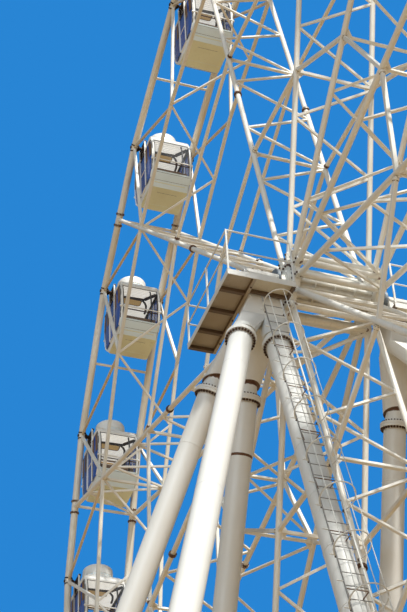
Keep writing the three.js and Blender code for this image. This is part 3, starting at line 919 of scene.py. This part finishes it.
def cabin_rail(shape, turn):
    """The white rail outside the long side's pane, with its round end plates."""
    cross_pipe(shape, turn * 0.864, 0.61, CABIN_RAIL, 0.0195, cabin_white, 10)
    bar = turn * (profile_at(CABIN_RAIL) - 0.035)
    cross_pipe(shape, bar, 0.54, CABIN_RAIL - 0.07, 0.017, trim_brown)
    end_plate = [(0, 0.036), (0.042, 0.036), (0.052, 0.026)]
    for y in (-0.6, 0.6):
        turned(shape, (turn * 0.83, y, CABIN_RAIL), X * turn, end_plate, 14, cabin_white)


def cabin_end(shape, side):
    """One end: two posts that carry the hanger, bulging blue panes, and a kick band at the foot."""
    y = side * CABIN_WIDE

    def edge(turn, back, out, z):
        return Vector((turn * (profile_at(z) - back), y + side * out, z))

    def at(x, out, z):
        return Vector((x, y + side * out, z))

    def panel(outline, thick, paint, rust=0.0):
        loft(shape, [outline, [corner - Y * (side * thick) for corner in outline]], paint, rust)

    for turn in (-1, 1):
        rings = []
        for z in END_LEVELS:
            corner, inner = edge(turn, 0.06, -0.01, z), at(turn * 0.255, 0.012, z)
            belly = (corner + inner) / 2 + Vector((turn * 0.02, side * 0.035, 0))
            back = Y * (side * -0.008)
            rings.append([corner, belly, inner, inner + back, belly + back, corner + back])
        loft(shape, rings, pane_blue, 0.0, OPEN)
        top = CABIN_HEAD - 0.03
        blind = [edge(turn, 0.09, 0.02, z) for z in (top, -0.6, -0.95)]
        panel(blind + [at(turn * 0.33, 0.035, z) for z in (-0.95, top)], 0.006, seat_brown)
        post = [at(turn * 0.24, 0.018, z) for z in (0.14, CABIN_HEAD, -0.9, -1.4, -1.72)]
        pipe(shape, post, 0.026, cabin_white, 10)
        seal = [at(turn * 0.29, 0.012, z) for z in (CABIN_HEAD - 0.02, -0.9, -1.4, CABIN_END_FOOT)]
        pipe(shape, seal, 0.012, seal_rubber, 8)
        pipe(shape, [edge(turn, 0.05, -0.002, z) for z in END_LEVELS], 0.02, cabin_white, 8)
    door = [at(-CABIN_DOOR_HALF, 0.004, CABIN_HEAD), at(CABIN_DOOR_HALF, 0.004, CABIN_HEAD),
            at(CABIN_DOOR_HALF, 0.004, CABIN_END_FOOT), at(-CABIN_DOOR_HALF, 0.004, CABIN_END_FOOT)]
    panel(door, 0.012, pane_blue)
    top = CABIN_HEAD - 0.01
    bars = ((top, profile_at(top) - 0.05, 0.02, seal_rubber), (-1.0, 0.22, 0.014, cabin_white),
            (CABIN_END_FOOT, 0.22, 0.02, cabin_white))
    for z, reach, radius, paint in bars:
        pipe(shape, [at(-reach, 0.008, z), at(reach, 0.008, z)], radius, paint, 8)
    kick = [edge(-1, 0.03, 0, -1.76), edge(1, 0.03, 0, -1.76),
            edge(1, 0.03, -0.012, -1.94), edge(-1, 0.03, -0.012, -1.94)]
    panel(kick, 0.01, cabin_white, 0.2)
    cabin_hanger(shape, side)


def cabin_hanger(shape, side):
    """Hanger plate with the boss of the pin, its ribs and its bolts."""
    out = Y * side
    middle = Z * -0.1
    box(shape, out * 0.585 + middle, (0.4, 0.05, 0.44), bearing_steel, rust=0.3, chamfer=0.02)
    box(shape, out * 0.6 + Z * 0.12, (0.54, 0.07, 0.05), bearing_steel, rust=0.3, chamfer=0.01)
    for x in (-0.13, 0.13):
        box(shape, out * 0.615 + middle + X * x, (0.022, 0.04, 0.4), bearing_steel, chamfer=0.004)
    boss = [(0, 0.11), (0.07, 0.11), (0.08, 0.095), (0.08, 0.062), (0.125, 0.056)]
    turned(shape, out * 0.55, out, boss, 24, bearing_steel, 0.2, LAST_END)
    turned(shape, out * 0.6, out, [(0, PIN_RADIUS), (PIN_END - 0.6, PIN_RADIUS)], 16, bearing_steel)
    bolt_circle(shape, out * 0.61 + middle, out, 0.17, 8, 0.015, 0.02)


def cabin_inside(shape):
    """Ribbed ceiling with its golden panel and trims, two low benches and a table; the ceiling and the
    panel glow with painted light.
    """
    ceiling = CABIN_HEAD + 0.012
    ribs = 22
    for step in range(ribs):
        x = -0.68 + 1.36 * step / (ribs - 1)
        box(shape, (x, 0, ceiling), (0.03, 1.06, 0.014), ceiling_white)
    # The golden panel is no lamp: its glow is painted light.
    lamp = Vector((0.14, -0.115, 0))
    long, wide = 0.25, 0.7
    box(shape, lamp + Z * (ceiling - 0.012), (long, wide, 0.016), ceiling_gold, chamfer=0.004)
    border = oblong(long / 2, wide / 2, ceiling - 0.018, 0.06)
    pipe(shape, [point + lamp for point in border], 0.012, seal_rubber, 6, closed=True)
    trims = [((0.28, -0.5), (0.34, 0.36), 0.085), ((0.36, 0.31), (0.64, 0.56), 0.12),
             ((0.30, -0.5), (-0.3, -0.52), 0.07)]
    arc = [(0.30, 0.22), (0.2, 0.34), (0.08, 0.42), (-0.1, 0.47), (-0.3, 0.49)]
    trims += [(start, end, 0.06) for start, end in zip(arc, arc[1:])]
    for start, end, wide in trims:
        beam(shape, (*start, ceiling - 0.015), (*end, ceiling - 0.015), wide, 0.024, trim_brown)
    for y in (-0.575, 0.575):
        pipe(shape, [(-0.7, y, ceiling - 0.02), (0.7, y, ceiling - 0.02)], 0.028, seal_rubber, 8)
    for x, paint in ((-0.55, seat_brown), (-0.68, ceiling_gold)):
        box(shape, (x, 0, ceiling - 0.014), (0.06, 1.02, 0.016), paint)
    for turn in (-1, 1):
        box(shape, (turn * 0.5, 0, -1.52), (0.36, 1.0, 0.07), seat_brown, chamfer=0.025)
        box(shape, (turn * 0.66, 0, -1.45), (0.05, 1.0, 0.16), seat_brown, chamfer=0.02)
        box(shape, (turn * 0.46, 0, -1.71), (0.24, 0.94, 0.3), cabin_tan, chamfer=0.01)
    table = [(0, 0.09), (0.02, 0.05), (0.45, 0.04), (0.46, 0.16), (0.485, 0.17), (0.5, 0.16)]
    turned(shape, (0, 0, CABIN_DECK), Z, table, 20, cabin_white)


def cabin_shape():
    shape = Shape()
    cabin_tub(shape)
    cabin_roof(shape)
    cabin_cooler(shape)
    cabin_inside(shape)
    for turn in (-1, 1):
        cabin_side(shape, turn)
        cabin_end(shape, turn)
    return shape


def build_cabins():
    cabin = finish_mesh(cabin_shape())
    for index in range(CABINS):
        name = f"cabin_{index + 1:02d}"
        place = HUB + on_wheel(AXLE_RADIUS, 0, WHEEL_TURN + (index + 0.5) * CABIN_STEP)
        mesh = moved_copy(cabin, Matrix.Translation(place))
        put_look(name, mesh, "hanging_" + name)


# Supports

def leg_line(front, side, outer):
    """Top of a leg about the hub, and the way down it per metre of height."""
    across, lean = LEG_OUTER if outer else LEG_INNER[side]
    top = Vector((front * LEG_TOP_X, side * across, LEG_TOP_Z))
    down = Vector((front * LEG_LEAN, side * lean, -1))
    return top, down


def leg_shape(front, side, outer):
    """One leg: flange with its bolts, welded tube, foot plate."""
    shape = Shape()
    top, down = leg_line(front, side, outer)
    unit = down.normalized()
    foot = top + down * TO_GROUND
    profile = [
        (0.0005, LEG_FLANGE_RADIUS - 0.006, 0.3), (0.005, LEG_FLANGE_RADIUS, 0.3),
        (LEG_FLANGE - 0.006, LEG_FLANGE_RADIUS, 0.2), (LEG_FLANGE, LEG_FLANGE_RADIUS - 0.006, 0.3),
        (LEG_FLANGE, LEG_RADIUS + 0.012, 0.4), (LEG_FLANGE + 0.012, LEG_RADIUS, 0.5),
        (LEG_FLANGE + 0.05, LEG_RADIUS, 0.3), (LEG_FLANGE + 0.12, LEG_RADIUS, 0.0),
    ]
    rusty = front < 0 and side < 0 and not outer
    for index, at in enumerate(LEG_SEAMS):
        mark, rise, wide = (1.1, 0.004, 0.022) if index == 0 and rusty else (0.3, 0.003, 0.01)
        profile += [
            (at - wide - 0.012, LEG_RADIUS, 0.0), (at - wide, LEG_RADIUS, mark),
            (at - wide * 0.6, LEG_RADIUS + rise, mark), (at + wide * 0.6, LEG_RADIUS + rise, mark),
            (at + wide, LEG_RADIUS, mark), (at + wide + 0.012, LEG_RADIUS, 0.0),
        ]
    profile.append((TO_GROUND * down.length - 1.2, LEG_RADIUS, 0.0))
    first, second = basis(unit)
    rings = [ring(top + unit * along, first, second, radius, LEG_SIDES) for along, radius, _ in profile]
    marks = [mark for _, _, mark in profile]
    last = rings[-1]
    for rise, mark in ((0.35, 0.25), (0.0, 0.8)):
        level = foot.z + FOOT_THICK - 0.01 + rise
        rings.append([point + unit * ((level - point.z) / unit.z) for point in last])
        marks.append(mark)
    loft(shape, rings, leg_paint, marks, FIRST_END)
    bolt_circle(shape, top + unit * LEG_FLANGE, unit, LEG_BOLT_RING, LEG_BOLTS, 0.024, 0.035)
    foot_plate(shape, foot)
    return shape


def foot_plate(shape, foot):
    """Round plate on the footing, with stiffeners and anchor bolts."""
    disc = [(0, FOOT_RADIUS), (FOOT_THICK - 0.008, FOOT_RADIUS), (FOOT_THICK, FOOT_RADIUS - 0.008)]
    turned(shape, foot, Z, disc, LEG_SIDES, leg_paint, [0.9, 0.8, 0.7])
    bolt_circle(shape, foot + Z * FOOT_THICK, Z, 0.33, 16, 0.024, 0.045)
    base = Vector((foot.x, foot.y, foot.z + FOOT_THICK))
    for out in ring(Vector(), X, Y, 1, FOOT_RIBS, math.pi / FOOT_RIBS):
        corners = [base + out * 0.2, base + out * 0.37,
                   base + out * 0.36 + Z * 0.03, base + out * 0.2 + Z * 0.22]
        plate(shape, corners, Z.cross(out) * 0.009, leg_paint, 0.5)


def trunk(shape, front, side, outer):
    """Flat-sided trunk from the head's waist to a leg, with the round stub and flange under it."""
    top, down = leg_line(front, side, outer)
    unit = down.normalized()
    if outer:
        start, end = TRUNK["outer_start"], HEAD_WAIST["outer"]
    else:
        start, end = HEAD_WAIST["inner"], TRUNK["inner_end"]
    across = (front * TRUNK["back"], front * HEAD_BOX["x"])
    upper = level_rectangle(across, (side * start, side * end), HEAD_WAIST["low"])
    at = top + down * (LEG_TOP_Z - TRUNK["low"])
    lower = ring(at, X, Y, TRUNK["half"], len(upper), -math.pi / 4)
    rings = [[a.lerp(b, share) for a, b in zip(upper, lower)] for share in (0.0, 0.5, 1.0)]
    loft(shape, rings, leg_paint, [0.2, 0.0, 0.4], OPEN)
    # Under the rear trunks the face is dark brown and the stub is marked with heavy rust: painted shade
    # under the flange, with some rust.
    rear = front < 0
    stub = STUB_RADIUS if rear else LEG_RADIUS - 0.014
    face_paint, face_rust_and_shade = (collar_paint, 0.6) if rear else (leg_paint, 0.1)
    shape.add(lower, [tuple(range(len(lower)))], face_paint, face_rust_and_shade)
    profile = [
        (0.0005, LEG_FLANGE_RADIUS - 0.006, 0.3), (0.006, LEG_FLANGE_RADIUS, 0.3),
        (LEG_FLANGE - 0.006, LEG_FLANGE_RADIUS, 0.3), (LEG_FLANGE, LEG_FLANGE_RADIUS - 0.006, 0.3),
        (LEG_FLANGE, LEG_RADIUS, 0.6), (LEG_FLANGE + 0.012, LEG_RADIUS - 0.012, 0.6),
        (0.12, LEG_RADIUS - 0.016, 0.1), (0.25, stub, 0.3 * rear), (0.3, stub, 0.9 * rear),
        (0.36, stub, 1.0 * rear),
    ]
    pairs, marks = [row[:2] for row in profile], [row[2] for row in profile]
    turned(shape, top, -unit, pairs, LEG_SIDES, leg_paint, marks, FIRST_END)
    bolt_circle(shape, top - unit * LEG_FLANGE, -unit, LEG_BOLT_RING, LEG_BOLTS, 0.016, 0.03)


def head_shape(side):
    """Bearing box on a flaring waist, the round cover over the shaft, and four trunks."""
    shape = Shape()
    half, inner, outer = HEAD_BOX["x"], HEAD_BOX["inner"], HEAD_BOX["outer"]
    high, low = HEAD_BOX["high"], HEAD_BOX["low"]
    levels = [(high, inner, outer), (low, inner, outer),
              (HEAD_WAIST["low"], HEAD_WAIST["inner"], HEAD_WAIST["outer"])]
    rings = [level_frame(-half, half, side * a, side * b, z) for z, a, b in levels]
    loft(shape, rings, leg_paint, 0.3)
    for turn in (-1, 1):
        for y in (inner + 0.02, outer - 0.02):
            top, foot = (Vector((turn * (half + 0.003), side * y, z)) for z in (high - 0.02, low + 0.02))
            beam(shape, top, foot, 0.03, 0.012, leg_paint, X, 0.3)
    for front in (-1, 1):
        for is_outer in (False, True):
            trunk(shape, front, side, is_outer)
    out = Y * side
    for part, paint in ((HEAD_COVER, leg_paint), (HEAD_COLLAR, collar_steel)):
        length = part["outer"] - part["inner"]
        drum = [(0, SHAFT_RADIUS + 0.006)] + eased(length, part["radius"])
        turned(shape, Y * (side * part["inner"]), out, drum, 40, paint, 0.3, LAST_END)
    for turn in (-1, 1):
        for share in (0.15, 0.5, 0.85):
            y = side * (HEAD_COVER["inner"] + share * (HEAD_COVER["outer"] - HEAD_COVER["inner"]))
            bolt(shape, (turn * 0.255, y, high), Z, 0.026, 0.05)
    face = [(0, 0.17), (0.018, 0.17), (0.019, 0.14)]
    turned(shape, Y * (side * outer) - Y * (side * 0.02), out, face, 40, leg_paint, 0.5, OPEN)
    return shape


def platform_shape(side):
    """L-shaped deck on its beams, with the railing round its open edges."""
    shape = Shape()
    walk = DECK["walk"] + 0.003
    rear, front, landing = DECK["rear"], DECK["front"], DECK["landing"]
    outer, inner = DECK["outer"], DECK["inner"]
    low, high = DECK_TOP - DECK_BEAM, DECK_TOP - 0.002
    under = DECK_TOP - DECK_THICK

    def slab(x0, x1, y0, y1, z0, z1, paint, rust=0.2):
        centre = ((x0 + x1) / 2, side * (y0 + y1) / 2, (z0 + z1) / 2)
        box(shape, centre, (x1 - x0, abs(y1 - y0), z1 - z0), paint, rust=rust, chamfer=0.004)

    slab(rear + 0.01, front - 0.01, walk + 0.005, outer - 0.01, under, DECK_TOP, deck_paint)
    slab(landing + 0.01, front - 0.01, inner + 0.01, walk + 0.02, under, DECK_TOP, landing_paint)
    slab(rear, front, outer - 0.012, outer, low, DECK_TOP + 0.02, leg_paint)
    slab(front - 0.014, front, inner, outer - 0.012, low, DECK_TOP + 0.02, leg_paint)
    slab(rear, front - 0.016, walk, walk + 0.06, low, high, deck_paint)
    # The thin dark sheet on the walk beam's side is its shaded side, painted; the dark beams below carry
    # painted shade too.
    slab(rear, front - 0.016, walk + 0.06, walk + 0.068, low + 0.01, DECK_TOP - 0.01, beam_rust_and_shade)
    slab(landing + 0.05, front - 0.014, inner, inner + 0.05, low, high, beam_rust_and_shade)
    slab(landing, landing + 0.05, inner, walk, low, high, beam_rust_and_shade, 0.5)
    for x in (rear, *DECK_CROSS_BEAMS):
        slab(x, x + DECK_BEAM_WIDTH, walk + 0.068, outer - 0.012, low, high, beam_rust_and_shade, 0.5)

    inset = 0.03
    outer_y = side * (outer - inset)
    front_x, rear_x = front - inset, rear + inset
    top = DECK_TOP + RAIL_HEIGHT - 0.005
    corners = [(rear_x, side * (walk + inset)), (rear_x, outer_y), (front_x, outer_y),
               (front_x, side * (inner + inset))]
    for x, y in [*corners, ((rear_x + front_x) / 2, outer_y)]:
        post = (x, y, DECK_TOP - 0.02), (x, y, top - 0.01)
        tube(shape, *post, RAIL_TUBE + 0.003, leg_paint, 12, 0.5, 0.15)
        box(shape, (x, y, DECK_TOP + 0.025), (0.07, 0.07, 0.012), leg_paint, rust=0.5)
    for z, radius in ((top - RAIL_TUBE, RAIL_TUBE), (DECK_TOP + RAIL_HEIGHT / 2, RAIL_TUBE * 0.85)):
        pipe(shape, [(x, y, z) for x, y in corners], radius, leg_paint, 12, 0.15)
    for x in (rear + 0.35, rear + 1.1, 0.5):
        bolt(shape, (x, side * (walk + 0.03), low), -Z, 0.02, 0.02)
    return shape


def ladder_shape(side):
    """Ladder with a safety cage up the front inner leg."""
    shape = Shape()
    top, down = leg_line(1, side, False)
    unit = down.normalized()
    off = Vector((-unit.z, 0, unit.x)).normalized()
    slope = down.length
    low = TO_GROUND - LADDER_FOOT
    half = LADDER_WIDTH / 2

    def place(drop, y, out=LADDER_OFF):
        return top + down * drop + off * out + Y * (side * LADDER_SHIFT + y)

    # The left stile takes the dark rung paint and the right one the pale ladder paint: painted shade on
    # the left stile.
    for y, size, paint in ((-half, 0.009, rung_shade_paint), (half, 0.013, ladder_paint)):
        square_bar(shape, place(LADDER_TOP, y), place(low, y), size, paint, Y, 0.3)
    for rung in range(1, int((low - LADDER_TOP) * slope / RUNG_PITCH)):
        drop = LADDER_TOP + rung * RUNG_PITCH / slope
        tube(shape, place(drop, -half), place(drop, half), RUNG, rung_shade_paint, 8, 0.5, 0.06)
    for step in range(int((low - 0.6) * slope / LADDER_TIE_PITCH)):
        ladder_tie(shape, top, down, place, 0.6 + step * LADDER_TIE_PITCH / slope)
    for step in range(int((low - CAGE_TOP) * slope / LADDER_BAR_PITCH)):
        at = place(CAGE_TOP + step * LADDER_BAR_PITCH / slope, -half)
        beam(shape, at, at - Y * 0.11, 0.016, 0.016, ladder_paint, off, 0.3, 0.003)
    ladder_cage(shape, place, low - 2.2, slope)
    return shape


def ladder_tie(shape, top, down, place, drop):
    """Two arms from a clamp round the leg to the stiles, and a bar between the stiles."""
    axis = top + down * drop
    unit = down.normalized()
    half = LADDER_WIDTH / 2
    for y in (-half, half):
        end = place(drop, y)
        way = (end - axis).normalized()
        tube(shape, axis + way * (LEG_RADIUS * 0.97), end, LADDER_ARM, collar_paint, 8, 0.8, 0.1)
    a, b = (place(drop, y, LADDER_OFF - 0.02) for y in (-half, half))
    beam(shape, a, b, 0.016, 0.016, collar_paint)
    clamp = sleeve(LEG_RADIUS + 0.001, LEG_RADIUS + 0.005, 0.05)
    turned(shape, axis - unit * 0.025, unit, clamp, 40, leg_paint, 0.3, OPEN)


def ladder_cage(shape, place, low, slope):
    """Hoops that swing out from the stiles, tied by thin straps."""
    sweep = math.radians(140)

    def on_hoop(drop, angle, inward=0.0):
        y = (CAGE_HALF - inward) * math.sin(angle)
        return place(drop, y, CAGE_MIDDLE + (CAGE_DEEP - inward) * math.cos(angle))

    hoops = int((low - CAGE_TOP) * slope / CAGE_PITCH)
    drops = [CAGE_TOP + hoop * CAGE_PITCH / slope for hoop in range(hoops + 1)]
    steps = 20
    for drop in drops:
        path = [on_hoop(drop, sweep * (2 * step / steps - 1)) for step in range(steps + 1)]
        pipe(shape, path, LADDER_HOOP, ladder_paint, 8, 0.2)
        for end in (path[0], path[-1]):
            box(shape, end, (0.03, 0.03, 0.03), bolt_steel)
    for degrees in (-62, 0, 62):
        strap = [on_hoop(drop, math.radians(degrees), 0.012) for drop in (drops[0], drops[-1])]
        pipe(shape, strap, LADDER_STRAP, ladder_paint, 6, 0.2)


def build_supports():
    lift = Matrix.Translation(HUB)

    def stand(name, shape):
        put_look(name, finish_mesh(shape, lift), "supports")

    for word, side in (("near", -1), ("far", 1)):
        stand(f"{word}_head", head_shape(side))
        stand(f"{word}_platform", platform_shape(side))
        for end, front in (("front", 1), ("rear", -1)):
            for where, outer in (("outer", True), ("inner", False)):
                stand(f"{word}_leg_{end}_{where}", leg_shape(front, side, outer))
    stand("near_ladder", ladder_shape(-1))


# Stage

def build_camera():
    """The camera at its fitted place, turned by its yaw, pitch and roll."""
    yaw, pitch, roll = (math.radians(value) for value in (CAMERA_YAW, CAMERA_PITCH, CAMERA_ROLL))
    look = Vector((math.cos(yaw) * math.cos(pitch), math.sin(yaw) * math.cos(pitch), math.sin(pitch)))
    level = Vector((math.sin(yaw), -math.cos(yaw), 0))
    rise = level.cross(look)
    right = level * math.cos(roll) + rise * math.sin(roll)
    up = rise * math.cos(roll) - level * math.sin(roll)
    data = bpy.data.cameras.new("camera")
    data.sensor_fit = "HORIZONTAL"
    data.sensor_width = 36
    data.lens = data.sensor_width * FOCAL_PIXELS / IMAGE[0]
    data.clip_end = 500
    camera = bpy.data.objects.new("camera", data)
    turn = Matrix((right, up, -look)).transposed().to_4x4()
    camera.matrix_world = Matrix.Translation(CAMERA_PLACE) @ turn
    bpy.context.scene.collection.objects.link(camera)
    bpy.context.scene.camera = camera


def build_floor():
    mesh = bpy.data.meshes.new("floor")
    edge = ring(Vector(), X, Y, FLOOR_RADIUS, 96)
    mesh.from_pydata(edge, [], [tuple(range(len(edge)))])
    made, tree, shader = material("floor")
    wander = noise(tree, object_place(tree), 0.3, 3)
    colour = mix_colour(tree, wander, (0.28, 0.185, 0.085, 1), (0.31, 0.205, 0.095, 1))
    set_sockets(tree, shader, {"Base Color": colour, "Roughness": 0.85})
    mesh.materials.append(made)
    ground = bpy.data.objects.new("floor", mesh)
    bpy.context.scene.collection.objects.link(ground)


def build_light():
    """A blue backdrop, a soft sky, the sun as key light and a broad fill."""
    world = bpy.data.worlds.new("studio")
    bpy.context.scene.world = world
    world.use_nodes = True
    tree = world.node_tree
    sky = tree.nodes["Background"]
    set_sockets(tree, sky, {"Color": (0.50, 0.59, 0.70, 1), "Strength": 0.34})
    backdrop = node(tree, "ShaderNodeBackground", {"Color": (0.022, 0.235, 0.66, 1)})
    seen = node(tree, "ShaderNodeLightPath").outputs["Is Camera Ray"]
    choice = node(tree, "ShaderNodeMixShader", {0: seen, 1: sky.outputs[0], 2: backdrop.outputs[0]})
    set_sockets(tree, tree.nodes["World Output"], {"Surface": choice.outputs[0]})

    def lamp(name, direction, energy, angle, colour):
        data = bpy.data.lights.new(name, "SUN")
        data.energy = energy
        data.angle = math.radians(angle)
        data.color = colour
        made = bpy.data.objects.new(name, data)
        made.rotation_euler = Vector(direction).to_track_quat("Z", "Y").to_euler()
        bpy.context.scene.collection.objects.link(made)

    lamp("key", direction=(0.75, 0.10, 1.0), energy=4.8, angle=2, colour=(1.0, 0.985, 0.94))
    lamp("fill", direction=(0.75, -0.65, 0.15), energy=1.15, angle=40, colour=(0.78, 0.90, 1.0))
    bpy.context.scene.view_settings.view_transform = "Standard"


build_wheel()
build_cabins()
build_supports()
build_camera()
build_floor()
build_light()

bpy.context.view_layer.update()
